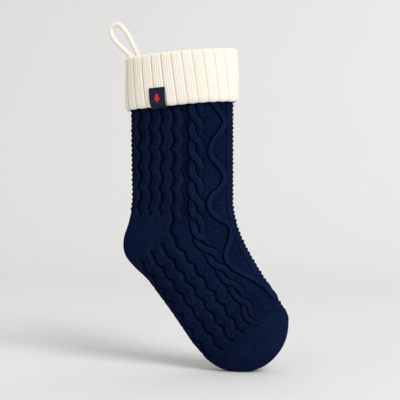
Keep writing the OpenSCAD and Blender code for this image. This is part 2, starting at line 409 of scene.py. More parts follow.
MATERIALS = {
    "navy_knit": navy_knit(),
    "navy_yarn": plied_yarn("navy_yarn", NAVY, sheen=NAVY_SHEEN, specular=0.0),
    "ivory_rib": ivory_knit("ivory_rib_knit", 0.3),
    "ivory_cord": ivory_knit("ivory_knitted_cord", 0.35),
    "ivory_thread": plied_yarn("ivory_thread", IVORY),
    "lining_cloth": plain_weave("lining_cloth", LINING, 0.2),
    "lining_thread": plied_yarn("lining_thread", LINING),
    "label_ribbon": plain_weave("label_ribbon", LABEL, 0.1),
    "label_thread": plied_yarn("label_thread", LABEL_STITCH),
    "red_thread": plied_yarn("red_thread", RED, turn=0.5),
}


def assign(piece, material):
    piece.data.materials.clear()
    piece.data.materials.append(material)


def dress(piece, slot, *nodes, rides=True):
    """Gives a piece the material of its slot and, if it rides, the stocking's body, and hides the
    CAD parts that it stands for.
    """
    assign(piece, MATERIALS[slot])
    if rides:
        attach(piece, "stocking")
    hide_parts(*nodes)


# ===== The outline of the leg and foot, as in the design =====

HALF_LEG = 73.0
HALF_DEPTH = 27.0
KNIT_T = 3.0
SEAM_GAP = 1.1
SEAM_IN = 0.6
CUFF_RISE = 9.0
TOE_R = 68.5
TOE_C = np.array([82.6, TOE_R])
SOLE_ANGLE, INSTEP_ANGLE, TIP_ANGLE = 215.0, 11.0, 304.0

# Calf, heel or sole edge x and z, shin or instep edge x and z, half depth, section exponent
LEG_ROWS = [
    [-HALF_LEG - 0.3, 384, HALF_LEG, 384 + CUFF_RISE, HALF_DEPTH, 0.50],
    [-HALF_LEG - 0.3, 350, HALF_LEG, 358, HALF_DEPTH, 0.52],
    [-HALF_LEG, 312, HALF_LEG, 320, HALF_DEPTH, 0.55],
    [-HALF_LEG + 0.6, 274, HALF_LEG, 284, HALF_DEPTH, 0.58],
    [-HALF_LEG + 0.7, 240, HALF_LEG, 252, HALF_DEPTH + 1, 0.60],
    [-HALF_LEG - 4.4, 210, HALF_LEG + 0.2, 234, HALF_DEPTH + 2, 0.60],
    [-HALF_LEG - 11.8, 184, HALF_LEG + 3, 218, HALF_DEPTH + 3, 0.60],
    [-HALF_LEG - 9.6, 163, HALF_LEG + 6.2, 205, HALF_DEPTH + 3, 0.60],
    [-68, 145, HALF_LEG + 9.8, 195, HALF_DEPTH + 3, 0.60],
    [-49.6, 128.5, HALF_LEG + 13.6, 186, HALF_DEPTH + 2, 0.60],
    [-33, 107.5, 93, 173, HALF_DEPTH + 2, 0.60],
    [-16.4, 86, 101.5, 158, HALF_DEPTH + 1, 0.60],
    [1.2, 61.5, 117, 133, HALF_DEPTH + 1, 0.60],
    [16.6, 40, 136, 104.5, HALF_DEPTH + 1, 0.58],
]


def on_toe(angle):
    return TOE_C + TOE_R * np.array([math.cos(math.radians(angle)), math.sin(math.radians(angle))])


def toe_row(f):
    sole = on_toe(SOLE_ANGLE + (TIP_ANGLE - SOLE_ANGLE) * f)
    instep = on_toe(INSTEP_ANGLE - (INSTEP_ANGLE + 360 - TIP_ANGLE) * f)
    return [*sole, *instep, HALF_DEPTH + 1, 0.56 - 0.06 * f]


TOE_ROWS = [toe_row(f) for f in (0, 0.16, 0.32, 0.48, 0.64, 0.8, 0.92, 0.975)]
ROWS = np.array(LEG_ROWS + TOE_ROWS)
FIRST_TOE_ROW = len(LEG_ROWS)
LAST_ROW = len(ROWS) - 1
HEEL_ROW = 4.6


def chord(row):
    return np.hypot(row[..., 2] - row[..., 0], row[..., 3] - row[..., 1])


def skin(s, t, inset=0.0):
    """Points of the front skin at row s and place t across, inset below the outer surface."""
    s, t = np.broadcast_arrays(np.asarray(s, float), np.asarray(t, float))
    row = catmull(ROWS, s)
    closing = np.where(s <= FIRST_TOE_ROW, 1.0, chord(row) / chord(ROWS[FIRST_TOE_ROW]))
    a, b = inset_edge(s, 0, inset), inset_edge(s, 1, inset)
    middle = (a + b) / 2 + t[..., None] * (b - a) / 2
    deep = (row[..., 4] - inset) * closing
    y = -SEAM_GAP - deep * np.maximum(1 - t * t, 0) ** row[..., 5]
    return np.stack([middle[..., 0], y, middle[..., 1]], -1)


def with_tangent(points, f):
    """The points of a smooth curve at the places f, and its direction there."""
    return catmull(points, f), unit(catmull(points, f + 0.05) - catmull(points, f - 0.05))


def inset_edge(s, side, inset):
    """The outline moved inwards: side 0 is the calf and sole, side 1 the shin and instep."""
    here, t = with_tangent(ROWS[:, 2 * side:2 * side + 2], np.asarray(s, float))
    inwards = np.stack([-t[..., 1], t[..., 0]], -1) * (1 if side == 0 else -1)
    return here + inset * inwards


# ===== The cable pattern =====
# Every line of it is a path in the plane of the panel, in millimetres. The leg runs straight down
# and the foot runs down FOOT, with ACROSS_FOOT to its upper right.

FOOT = np.array([0.6, -0.8])
ACROSS_FOOT = np.array([0.8, 0.6])
LEG_TOP = 396.0
HEEL_TOP = 219.0
FOOT_START = -158.0
TOE_START = 10.0
LEG_WAVE = 28.0
FOOT_WAVE = 23.2
LEG_CREST_Z = 359.0
FOOT_CREST = -129.0


def along_foot(x, z):
    return FOOT[0] * x + FOOT[1] * z


def bent_path(leg_x, foot_across, end=TOE_START, round_by=14.0):
    """Down the leg at leg_x, round the ankle and down the foot at foot_across."""
    bend = np.array([leg_x, (foot_across - ACROSS_FOOT[0] * leg_x) / ACROSS_FOOT[1]])
    last = end * FOOT + foot_across * ACROSS_FOOT
    corner = [bend + [0, round_by], bend + [0.05 * round_by, 0.45 * round_by],
              bend + FOOT * 0.45 * round_by + [-0.05 * round_by, 0], bend + FOOT * round_by]
    down = np.linspace([leg_x, LEG_TOP], corner[0], 40)[:-1]
    turn = catmull([down[-1], *corner, corner[3] + FOOT * 8], np.linspace(1, 4, 40))
    along = np.linspace(corner[3], last, 40)[1:]
    return resample(np.concatenate([down, turn, along]), PATH_STEP)


def crest_phase(path, leg_z, leg_pitch, above_foot, foot_along, foot_pitch):
    """A number that is whole at each crest of the waves, all along a bent path."""
    along = along_foot(path[:, 0], path[:, 1])
    leg = (leg_z - path[:, 1]) / leg_pitch
    foot = above_foot + (along - foot_along) / foot_pitch
    in_leg = path[:, 1] > HEEL_TOP
    known = in_leg | ((along > foot_along - foot_pitch) & ~in_leg)
    length = path_lengths(path)
    return np.interp(length, length[known], np.where(in_leg, leg, foot)[known])


def rightwards(path):
    t = tangents(path)
    return np.stack([-t[:, 1], t[:, 0]], 1)


def scalloped(path, depth, shift=0.0):
    """A path that swings to the right at each crest, and how many crests it has passed."""
    phase = crest_phase(path, LEG_CREST_Z - shift, LEG_WAVE, 7, FOOT_CREST, FOOT_WAVE)
    off = np.abs(phase - np.round(phase))
    in_foot = smoothstep(HEEL_TOP + 10, HEEL_TOP - 10, path[:, 1])
    leg = 0.5 * (1 - 2 * off) + 0.5 * np.abs(np.cos(math.pi * phase))
    late = np.interp(phase - np.floor(phase), [0, 0.56, 1], [0, 0.5, 0])
    foot = 0.5 * (1 - 2 * late) + 0.5 * (1 - np.sin(math.pi * late))
    swell = leg + in_foot * (foot - leg)
    return path + (depth * swell)[:, None] * rightwards(path), phase


PATH_STEP = 0.4
FIELD_STEP = 0.5
FIELD_LO = np.array([-100.0, -10.0])
FIELD_SIZE = (520, 830)


def from_line(path, reach, x, z):
    """Distance to a path, the same with its right side positive, and length along the path.

    It is worked out on a field of places within reach of the path, and read off at x and z."""
    distance, side, along = np.full(FIELD_SIZE, 99.0), np.zeros(FIELD_SIZE), np.zeros(FIELD_SIZE)
    field_x, field_z = (low + np.arange(n) * FIELD_STEP for low, n in zip(FIELD_LO, FIELD_SIZE))
    cells = int(reach / FIELD_STEP) + 1
    for point, normal, place in zip(path, rightwards(path), path_lengths(path)):
        i, j = ((point - FIELD_LO) / FIELD_STEP).astype(int)
        near = (slice(max(i - cells, 0), max(i + cells, 0)),
                slice(max(j - cells, 0), max(j + cells, 0)))
        dx = (field_x[near[0]] - point[0])[:, None]
        dz = (field_z[near[1]] - point[1])[None, :]
        d = np.sqrt(dx * dx + dz * dz)
        nearer = d < distance[near]
        distance[near][nearer] = d[nearer]
        side[near][nearer] = (dx * normal[0] + dz * normal[1])[nearer]
        along[near][nearer] = place
    away = sample_field(distance, x, z)
    return away, np.sign(sample_field(side, x, z)) * away, sample_field(along, x, z)


def sample_field(field, x, z):
    fx = np.clip((x - FIELD_LO[0]) / FIELD_STEP, 0, field.shape[0] - 1.001)
    fz = np.clip((z - FIELD_LO[1]) / FIELD_STEP, 0, field.shape[1] - 1.001)
    i, j = fx.astype(int), fz.astype(int)
    u, v = fx - i, fz - j
    return ((1 - u) * (1 - v) * field[i, j] + u * (1 - v) * field[i + 1, j]
            + (1 - u) * v * field[i, j + 1] + u * v * field[i + 1, j + 1])


# Leg x, foot across and swell of the five grooves to the right of the five wave columns
COLUMNS = [(-61, 43.4, 5.5), (-43, 66, 4.5), (-26, 86.5, 4.3), (-9, 106, 4.7), (5, 122, 5.5)]
COLUMN_SHIFT = 1.4
# How much of each groove's painted shade is lost in the foot
FAINT_IN_FOOT = (0.55, 0.2, 0.1, 0)
# Left side of the rope in the leg and across the foot, and its places of crossing
ROPE_X, ROPE_ACROSS = 15.4, 127.5
ROPE_CROSSINGS = (354.8, 28.0, 6, -138.0, 27.5)
ROPE_SPREAD = 6.4
STRAND_R = 4.9
# The middle of the big wave cable, from the leg's top to the instep seam
BIG_WAVE = [(44, 394), (46, 384), (52, 374), (62.5, 359), (65, 350), (60, 338), (51, 325),
            (46.2, 312), (48, 302), (57, 290), (64, 278), (64.5, 268), (58.5, 257), (47.6, 246),
            (44.5, 234), (49, 224), (59, 215), (69.5, 209), (74.2, 201), (74, 188), (71.4, 177),
            (68.4, 166), (70.8, 157), (79, 147.5), (93, 139), (109, 130), (121, 121), (131, 111),
            (138, 104)]
WAVE_W = 7.4
TOE_CREASES = [[(94, 58), (99, 50), (109, 36), (118, 21), (123, 15)],
               [(117, 88), (131, 87.5), (146, 87)]]
SHIN_GROOVE = 6.2
CALF_GROOVE = 4.0


def rope_strands():
    """The two strands: path, radius, height over the rope's middle, and the rope's left side."""
    left = bent_path(ROPE_X, ROPE_ACROSS, end=TOE_START + 2, round_by=24)
    along = along_foot(left[:, 0], left[:, 1])
    slim = np.interp(along, [-175, -130, -10, 10], [1, 0.86, 0.74, 0.6])
    right = rightwards(left)
    crossings = crest_phase(left, *ROPE_CROSSINGS) - 0.2 * smoothstep(-52, -18, along)
    bulge = 2.8 * (smoothstep(-195, -150, along) - 0.4 * smoothstep(-150, -120, along)
                   - 0.6 * smoothstep(-120, -60, along)) - 5.5 * smoothstep(-22, -4, along)
    left = left + bulge[:, None] * right
    strands = []
    for k in (0.5, 1.5):
        angle = math.pi * (crossings + k)
        over, under = np.cos(angle), np.cos(angle + 0.2 * np.abs(np.sin(angle)))
        sideways = np.where(np.sin(angle) > 0, 1 - np.tanh(0.9 * over) / math.tanh(0.9),
                            1 - np.tanh(2.2 * under) / math.tanh(2.2))
        offset = (STRAND_R + ROPE_SPREAD * sideways) * slim
        lift = 1.7 * np.sin(angle) + 0.5 * np.cos(angle)
        strands.append((left + offset[:, None] * right, STRAND_R * slim, lift))
    return strands, left


def fold_ticks(path, phase, length=5.0):
    """Short creases that run on from the left corners of a wavy path, in one list of points."""
    right = rightwards(path)
    ticks = []
    for k in np.arange(math.ceil(phase[0] - 0.5), phase[-1] - 0.5) + 0.5:
        i = int(np.searchsorted(phase, k))
        if 0 < i < len(path) - 1:
            away = -right[i] + 0.35 * np.array([right[i][1], -right[i][0]])
            ticks.append(path[i] + np.linspace(0, length, 14)[:, None] * away)
    return np.concatenate(ticks)


def knit_flow(x, z):
    """Stitch counts across and down the panel for the leg, the foot and the heel."""
    wale, course = 3.4, 2.8
    leg = np.stack([x / wale, z / course], -1)
    across = ACROSS_FOOT[0] * x + ACROSS_FOOT[1] * z
    foot = np.stack([across / wale, -along_foot(x, z) / course], -1)
    heel = np.stack([(x + z) / math.sqrt(2) / wale, (z - x) / math.sqrt(2) / course], -1)
    return leg, foot, heel


class Relief:
    """Height of the knit over the panel's skin, its share of purl ground, and its painted shading:
    painted shade along grooves, creases and hollows, and painted highlight on raised yarn where it
    is negative.
    """

    def __init__(self, x, z, t, inward, edge_distance):
        self.x, self.z = x, z
        self.along = along_foot(x, z)
        self.in_leg = smoothstep(HEEL_TOP - 40, HEEL_TOP + 10, z)
        self.off_toe = 1 - smoothstep(TOE_START - 4, TOE_START + 10, self.along)
        self.in_heel = (smoothstep(HEEL_TOP + 6, HEEL_TOP - 3, z)
                        * smoothstep(FOOT_START + 3, FOOT_START - 5, self.along))
        into_toe = smoothstep(TOE_START - 10, TOE_START + 34, self.along)
        in_foot = smoothstep(FOOT_START, FOOT_START + 10, self.along)
        self.lined = np.maximum(0.9 * self.in_heel * smoothstep(-5, -11, x),
                                in_foot * (0.6 + 0.4 * into_toe))
        self.height = np.full_like(x, 3.0)
        # Painted highlight: the knit is made lighter into the toe
        self.painted_shading = -0.14 * into_toe
        for k, column in enumerate(COLUMNS):
            right_of_column = self.add_column(k, *column)
        strands, left = rope_strands()
        from_left = from_line(left, 75, x, z)[1]
        self.add_ground(right_of_column, from_left)
        self.add_rope(strands, from_left)
        self.add_big_wave()
        self.add_edge_grooves(t, inward)
        for crease in TOE_CREASES:
            # Toe creases: shallow grooves with painted shade
            distance = from_line(smooth_path(crease, PATH_STEP), 5, x, z)[0]
            self.groove(bell(distance, 1.0), 0.4, 0.35)
        self.height = (self.height - 1.3) * smoothstep(0, 3.0, edge_distance)

    def groove(self, near, depth, painted_shading):
        self.height -= depth * near
        self.painted_shading += painted_shading * near

    def add_column(self, k, leg_x, foot_across, swell):
        """A soft mound with a full lip over the groove on its right."""
        path, phase = scalloped(bent_path(leg_x, foot_across), swell, k * COLUMN_SHIFT)
        last = k == len(COLUMNS) - 1
        distance, side, place = from_line(path, 70 if last else 12, self.x, self.z)
        right = side > 0
        rise = 1 - np.exp(-(distance / np.where(right, 5.0, 2.6)) ** np.where(right, 1.15, 1.6))
        where = {3: 1.0, 4: self.in_leg}.get(k, 1 - self.in_heel)
        strength = self.off_toe * where
        self.height *= 1 - strength * (1 - rise)
        self.height += strength * np.where(right, 0.0, 0.45) * bell(distance - 4.0, 2.6)
        passed = np.interp(place, path_lengths(path), phase)
        crest = (0.5 + 0.5 * np.cos(TAU * (passed - 0.06))) ** 2
        if not last:
            faint = 1 - (1 - self.in_leg) * FAINT_IN_FOOT[k]
            # Painted shade along the groove, strongest at the crests, and a painted shadow on the
            # groove's right side
            self.painted_shading += faint * strength * (0.55 + 0.35 * crest) * bell(distance, 1.45)
            self.painted_shading += strength * crest * right * 0.5 * bell(distance, 3.2)
            # Short creases off the left corners, sunk and given painted shade
            ticks = from_line(fold_ticks(path, phase), 5, self.x, self.z)[0]
            self.groove(strength * bell(ticks, 0.9), 0.8, 0.35)
        return side

    def add_ground(self, right_of_column, from_left):
        """Purl ground between the last column and the shin, deepest beside the rope."""
        ground = (self.in_leg * smoothstep(-2.6, 2.8, right_of_column)
                  + (1 - self.in_leg) * smoothstep(1, 5, from_left)) * self.off_toe
        level = 0.7 + 0.8 * smoothstep(16, 30, right_of_column)
        self.height += ground * (level - self.height)
        # Painted shade over the purl ground, heaviest in the gutter beside the rope
        self.painted_shading += 0.36 * self.in_leg * ground * smoothstep(0, -4, from_left) + 0.06 * ground
        self.ground = ground

    def add_rope(self, strands, from_left):
        """Two strands, each a rounded band with fine lines along it."""
        fade = smoothstep(TOE_START + 4, TOE_START - 8, self.along)
        rope = np.full_like(self.x, -9.0)
        gap = np.full_like(self.x, 9.0)
        for path, radius, lift in strands:
            distance, across, place = from_line(path, STRAND_R + 3, self.x, self.z)
            lengths = path_lengths(path)
            wide = np.interp(place, lengths, radius)
            slim = wide / STRAND_R
            level = np.interp(place, lengths, lift)
            inside = np.clip(1 - (distance / wide) ** 2, 0, 1)
            lines = np.cos(TAU * across / (3.0 * slim)) * smoothstep(0.1, 0.5, inside)
            mound = 3.5 + slim * (level - 3.4 * (1 - np.sqrt(inside))) + 0.4 * lines
            over = (distance < wide) & (mound > rope)
            gap = np.minimum(gap, distance - wide)
            # Painted shadow on the strand that passes under, beside the edge of the strand over it;
            # a strand on top gets none
            beside = bell(distance - wide, 1.2) * (distance > wide) * smoothstep(-0.2, 1, level)
            self.painted_shading = np.where(over & (level > 0), 0, self.painted_shading) + 0.9 * fade * beside
            # Painted highlight on the ridges of a strand's fine lines and painted shade between
            # them
            self.painted_shading = np.where(over, self.painted_shading - 0.3 * fade * lines, self.painted_shading)
            rope = np.where(over, mound, rope)
        # Painted shade along the rope's left side
        on_left = fade * smoothstep(9, 4, from_left) * (gap > 0)
        self.painted_shading += on_left * (0.9 * bell(gap, 1.4) + 0.35 * np.exp(-gap / 3.5))
        sunk = np.where(gap > 0, on_left * bell(gap, 2.2), fade)
        self.height -= (self.height - 0.6) * sunk
        on_rope = (rope > self.height) * fade
        self.height += on_rope * (rope - self.height)
        self.ground *= 1 - on_rope

    def add_big_wave(self):
        """A wave cable two stitches wide, with a sunken trench along its left side that carries
        painted shade.
        """
        path = smooth_path(BIG_WAVE, PATH_STEP)
        distance, side, place = from_line(path, 12, self.x, self.z)
        end = path_lengths(path)[-1]
        inside = np.clip(1 - (2 * distance / WAVE_W) ** 2, 0, 1)
        middle_line = bell(side - 0.9, 0.7)
        trench = bell(side + WAVE_W / 2 + 0.5, 1.3) * (distance < 11)
        # The trench is sunk and given painted shade
        self.groove(trench * smoothstep(end, end - 14, place), 1.2, 0.75)
        on_wave = (inside > 0) & (place < end - 2)
        wave = 1.6 + 2.7 * np.sqrt(inside) - 0.9 * middle_line
        self.height = np.where(on_wave, np.maximum(self.height, wave), self.height)
        self.ground *= ~on_wave
        # Painted shade on the wave's middle line and painted highlight on its top
        self.painted_shading += np.where(on_wave, 0.3 * middle_line - 0.26 * inside, 0)

    def add_edge_grooves(self, t, inward):
        """A narrow groove inside the shin and instep, and a fainter one inside the calf."""
        shin = (t > 0) * self.off_toe
        calf = 0.5 * (t < 0) * (self.z > HEEL_TOP)
        edge = shin * bell(inward - SHIN_GROOVE, 0.8) + calf * bell(inward - CALF_GROOVE, 0.8)
        # The grooves are sunk and given painted shade; a painted highlight lies on the edge wale
        # inside the shin groove
        self.groove(edge, 0.9, 0.45)
        self.painted_shading -= 0.2 * shin * smoothstep(SHIN_GROOVE - 0.6, SHIN_GROOVE - 1.8, inward)


def hollows(height):
    """How far each place lies below the mean of its surroundings, from -1 to 1."""
    mean = height
    for _ in range(12):
        wide = np.pad(mean, 1, mode="edge")
        mean = (wide[:-2, 1:-1] + wide[2:, 1:-1] + wide[1:-1, :-2] + wide[1:-1, 2:] + 2 * mean) / 6
    return np.clip((mean - height) / 1.1, -1, 1)


def section_places(s, count):
    """Places t across the row s that are an even distance apart along its curved section."""
    t = np.linspace(-1, 1, 801)
    points = skin(np.full_like(t, s), t)
    along = path_lengths(points)
    return np.interp(np.linspace(0, along[-1], count), along, t)


PANEL_ROWS = 561
PANEL_COLUMNS = 161
INNER_SKIP = 4


def panel_grid():
    middle = skin(np.linspace(0, LAST_ROW, 2001), 0.0)
    along = path_lengths(middle)
    s = np.interp(np.linspace(0, along[-1], PANEL_ROWS), along, np.linspace(0, LAST_ROW, 2001))
    coarse = np.linspace(0, LAST_ROW, 90)
    table = np.array([section_places(k, PANEL_COLUMNS) for k in coarse])
    t = np.stack([np.interp(s, coarse, table[:, k]) for k in range(PANEL_COLUMNS)], 1)
    return np.broadcast_to(s[:, None], t.shape), t


def grid_normals(points):
    du = np.gradient(points, axis=0)
    dv = np.gradient(points, axis=1)
    n = unit(np.cross(dv, du))
    n[:, 0], n[:, -1] = n[:, 1], n[:, -2]
    return n


def rim_faces(outer, inner):
    """Faces that join one side of the fine outer grid to the same side of the coarse inner."""
    faces = []
    for k in range(len(inner) - 1):
        fine = [int(outer[k * INNER_SKIP + i]) for i in range(INNER_SKIP + 1)]
        faces.append(fine[::-1] + [int(inner[k]), int(inner[k + 1])])
    return faces


def build_panel_data():
    """The outer and inner grids of points, and the attributes of the outer points."""
    s, t = panel_grid()
    base = skin(s, t)
    normal = grid_normals(base)
    normal = np.where(normal[..., 1:2] > 0, -normal, normal)
    steps = np.linalg.norm(np.diff(base, axis=1), axis=2)
    across = np.concatenate([np.zeros((len(base), 1)), np.cumsum(steps, 1)], 1)
    edge_distance = np.minimum(across, across[:, -1:] - across)
    inward = (1 - np.abs(t)) * chord(catmull(ROWS, s)) / 2
    relief = Relief(base[..., 0], base[..., 2], t, inward, edge_distance)
    outer = base + relief.height[..., None] * normal
    outer[:, 0], outer[:, -1] = base[:, 0], base[:, -1]
    inner = skin(s[::INNER_SKIP, ::INNER_SKIP], t[::INNER_SKIP, ::INNER_SKIP], KNIT_T)
    # Painted shading for the knit's colour: painted shade in hollows and grooves, painted highlight
    # where the knit stands up
    painted_relief_shading = hollows(relief.height) + relief.painted_shading
    return outer, inner, {"ground": relief.ground, "painted_relief_shading": painted_relief_shading, "lined": relief.lined}


def add_panel(name, node, outer, inner, attributes, mirrored):
    points = np.concatenate([outer.reshape(-1, 3), inner.reshape(-1, 3)])
    count, inner_count = outer[..., 0].size, inner[..., 0].size
    faces = grid_faces(*outer.shape[:2])
    faces += [f[::-1] for f in grid_faces(*inner.shape[:2], start=count)]
    o = np.arange(count).reshape(outer.shape[:2])
    i = np.arange(inner_count).reshape(inner.shape[:2]) + count
    faces += rim_faces(o[0], i[0]) + rim_faces(o[-1][::-1], i[-1][::-1])
    faces += rim_faces(o[::-1, 0], i[::-1, 0]) + rim_faces(o[:, -1], i[:, -1])
    if mirrored:
        points = points * [1, -1, 1]
        faces = [f[::-1] for f in faces]
    attributes = {key: np.concatenate([value.ravel(), np.zeros(inner_count)])
                  for key, value in attributes.items()}
    uv = panel_uv(faces, points)
    piece = add_mesh(name, leg_to_frame(points), faces, uv, attributes)
    dress(piece, "navy_knit", node)


def panel_uv(faces, points):
    """Stitch counts for each corner, with whole faces in the leg, the heel or the foot."""
    x, z = points[:, 0], points[:, 2]
    leg, foot, heel = knit_flow(x, z)
    sizes = np.array([len(f) for f in faces])
    corners = np.concatenate(faces)
    owner = np.repeat(np.arange(len(faces)), sizes)
    cx = np.bincount(owner, x[corners]) / sizes
    cz = np.bincount(owner, z[corners]) / sizes
    along = along_foot(cx, cz)
    in_foot = (along > FOOT_START) & (cz < 0.5 * cx + 196)
    in_heel = (cz < HEEL_TOP) & (along <= FOOT_START) & (cx < -6)
    kind = np.where(in_foot, 1, np.where(in_heel, 2, 0))[owner]
    return np.stack([leg, foot, heel])[kind, corners]


def surface_area(grid):
    """Area of a grid of points in millimetres, in square metres."""
    du = np.diff(grid, axis=0)[:, :-1]
    dv = np.diff(grid, axis=1)[:-1]
    return float(np.linalg.norm(np.cross(du, dv), axis=-1).sum()) * MM * MM


# The flat knitted piece of one side, from the rim of the leg to the tip of the toe
PANEL_AREA = surface_area(skin(*panel_grid()))

panel_data = build_panel_data()
add_panel("front_panel_knit", "front_panel", *panel_data, mirrored=False)
add_panel("back_panel_knit", "back_panel", *panel_data, mirrored=True)

# ===== Yarn: tubes, chains and stitches =====

YARN_TURN = 1.6
CORE_R = 1.1
CORE_STEP = 1.2
SEAM_SIDES = 8


def yarns(paths, radius, sides=6, closed=False, axes=None):
    """Round yarns that are alike, as a list for add_yarns."""
    axes = axes or [(0, 1, 0)] * len(paths)
    return [(path, radius, sides, axis, closed) for path, axis in zip(paths, axes)]


def add_yarns(name, node, slot, all_yarns):
    """One piece of round yarns, with u round each yarn and v along it."""
    points, faces, uv = [], [], []
    start = 0
    for path, radius, sides, axis, closed in all_yarns:
        ring = tube_points(path, radius, sides, axis, closed)
        faces += tube_faces(len(path), sides, closed, start)
        points.append(ring.reshape(-1, 3))
        v, u = np.meshgrid(path_lengths(path) / YARN_TURN, np.arange(sides) / sides, indexing="ij")
        uv.append(np.stack([u, v], -1).reshape(-1, 2))
        start += len(path) * sides
    piece = add_mesh(name, leg_to_frame(np.concatenate(points)), faces, np.concatenate(uv))
    dress(piece, slot, node)


def chain_links(path, pitch, length, width, lift, out, wave):
    """Closed loops of a chain stitch on a path in the plane of the seams, and their normals."""
    line = resample(path, pitch)
    t = tangents(line)
    outwards = np.stack([t[:, 1], -t[:, 0]], 1)
    theta = circle(18)
    links = []
    for k, (place, along, away) in enumerate(zip(line, t, outwards)):
        run = 0.5 * length * np.cos(theta)
        across = 0.5 * width * np.sin(theta) * (1 - 0.35 * np.cos(theta))
        rise = out + lift * np.cos(theta + 0.5) + wave * math.sin(k * 2.4)
        xz = place + run[:, None] * along + rise[:, None] * away
        links.append((np.stack([xz[:, 0], across, xz[:, 1]], 1), (away[0], 0, away[1])))
    return links


def flat_path(points):
    """A path in the plane of the seams, as points (x, 0, z)."""
    points = np.asarray(points, float)
    return np.stack([points[:, 0], np.zeros(len(points)), points[:, 1]], 1)


def seam_line(side, first, last, inset, count=200):
    return inset_edge(np.linspace(first, last, count), side, inset)


def add_seam(name, node, outline, chain, yarn_r):
    """The linked edge of the two panels: a core yarn in the gap and a chain over it."""
    core = yarns([flat_path(resample(outline, CORE_STEP))], CORE_R, SEAM_SIDES)
    loops, normals = zip(*chain)
    add_yarns(name, node, "navy_yarn", core + yarns(loops, yarn_r, SEAM_SIDES, True, normals))


calf_line = seam_line(0, 0, HEEL_ROW, SEAM_IN)
shin_line = seam_line(1, 0, FIRST_TOE_ROW, SEAM_IN)[::-1]
sole_line = np.concatenate([seam_line(0, HEEL_ROW, LAST_ROW, SEAM_IN, 400),
                            seam_line(1, LAST_ROW, FIRST_TOE_ROW, SEAM_IN, 200)])
# The pitch, length, width, lift, distance out and unevenness of each seam's chain
CALF_CHAIN = (7.0, 3.4, 3.4, 0.3, 1.2, 0.3)
SHIN_CHAIN = (6.2, 2.6, 3.4, 0.3, 1.2, 0.3)
SOLE_CHAIN = (3.4, 4.6, 2.8, 0.35, -0.6, 0.0)
add_seam("calf_linked_seam", "calf_seam", calf_line, chain_links(calf_line, *CALF_CHAIN)[:-1], 1.15)
add_seam("shin_linked_seam", "shin_seam", shin_line, chain_links(shin_line, *SHIN_CHAIN)[1:], 1.1)
add_seam("sole_linked_seam", "sole_seam", sole_line, chain_links(sole_line, *SOLE_CHAIN), 0.9)

# ===== Cuff =====

HEM_Z = 375.0
CUFF_H = 75.0
CUFF_SLOPE = CUFF_RISE / (2 * HALF_LEG)
CUFF_FOOT = 384 + CUFF_RISE / 2 - HEM_Z + 2 * SEAM_GAP + 0.2
CUFF_IN, CUFF_OUT, CUFF_HEM_OUT = -4.0, 7.0, 8.5
FOLD_R = (CUFF_OUT - CUFF_IN) / 2
FOLD_MID = (CUFF_OUT + CUFF_IN) / 2
INNER_ROWS = 22
RIBS = 25
FIRST_GROOVE = 11.8
WALES = 5
COURSE = 2.9
CUFF_AROUND = 600


def cuff_point(angle, out, h):
    """angle runs round the cuff from the calf by way of the front, in radians."""
    x = -np.cos(angle) * (HALF_LEG + out)
    x = x - 1.8 * smoothstep(0, 80, -x)
    y = -np.sin(angle) * (HALF_DEPTH + SEAM_GAP + out)
    sag = 1.3 * bell(x + 25, 42) * np.clip(1 - h / 45, 0, 1)
    corner = smoothstep(52, 80, -x) * smoothstep(55, 72, h)
    z = HEM_Z + h + CUFF_SLOPE * x - sag + 1.8 * corner
    return np.stack(np.broadcast_arrays(x - 1.8 * corner, y, z), -1)


def cuff_profile():
    """The fold's section, from the inner wall's foot over the rim to the hem and back up.

    It is a loop of points (out, h), with the number of them that are faced with ribs."""
    up = [(CUFF_IN, h) for h in np.linspace(CUFF_FOOT, CUFF_H - FOLD_R, INNER_ROWS)[:-1]]
    fold = [(FOLD_MID + FOLD_R * math.cos(a), CUFF_H - FOLD_R + FOLD_R * math.sin(a))
            for a in np.linspace(math.pi, 0, 19)]
    hem_r, hem_rise = 3.6, 8.0
    hem_c = CUFF_HEM_OUT - hem_r
    down = [(CUFF_OUT + (CUFF_HEM_OUT - CUFF_OUT) * f + 0.6 * math.sin(math.pi * f),
             (CUFF_H - FOLD_R) * (1 - f) + hem_rise * f) for f in np.linspace(0, 1, 62)[1:-1]]
    roll = [(hem_c + hem_r * math.cos(a), hem_rise + hem_rise * math.sin(a))
            for a in np.linspace(0, -math.pi / 2, 12)]
    tuck = [(3.0, 0.5), (1.9, 2.0), (1.5, 5.0)]
    slot = [(1.5, h) for h in np.linspace(12, CUFF_H - FOLD_R - 1, 9)]
    turn = [(0.75, CUFF_H - FOLD_R), (0.0, CUFF_H - FOLD_R - 1)]
    back = [(0.0, h) for h in np.linspace(CUFF_H - FOLD_R - 10, CUFF_FOOT, 8)]
    faced = len(up) + len(fold) + len(down) + len(roll)
    return np.array(up + fold + down + roll + tuck + slot + turn + back), faced


def rib_relief(place, depth):
    """Height, painted shade and wale count of the rib at a place along its course, in millimetres.
    """
    f = place / RIB_PITCH
    number = np.floor(f)
    left = (f - number) * RIB_PITCH
    groove = np.minimum(left, RIB_PITCH - left)
    height = -1.15 * depth * np.exp(-groove ** 1.5)
    for valley, low in ((3.9, 0.45), (7.3, 0.6), (10.7, 0.45)):
        height -= low * depth * bell(left - valley, 0.7)
    height += 0.25 * bell(left - 12.7, 1.6) + 0.5 * np.sin(math.pi * left / RIB_PITCH)
    wales = np.interp(left, [0, 0.75, 4.2, 7.5, 10.8, 14.4, RIB_PITCH], [0.5, 1, 2, 3, 4, 5, 5.5])
    valleys = sum(bell(left - valley, 0.8) for valley in (3.9, 7.3, 10.7))
    # Painted shade in the grooves and in the valleys between wales
    return height, depth * (bell(groove, 1.3) + 0.32 * valleys), WALES * number + wales


def cuff_lean(place, h):
    """How far the ribs have slipped round by the time they reach a height above the hem."""
    most_at, upright_h, slipped_over = 95, 66, 58
    slip = 4.5 + 4.0 * np.cos(TAU * (place - most_at) / CUFF_PERIMETER)
    return slip * (upright_h - np.clip(h, 0, CUFF_H)) / slipped_over


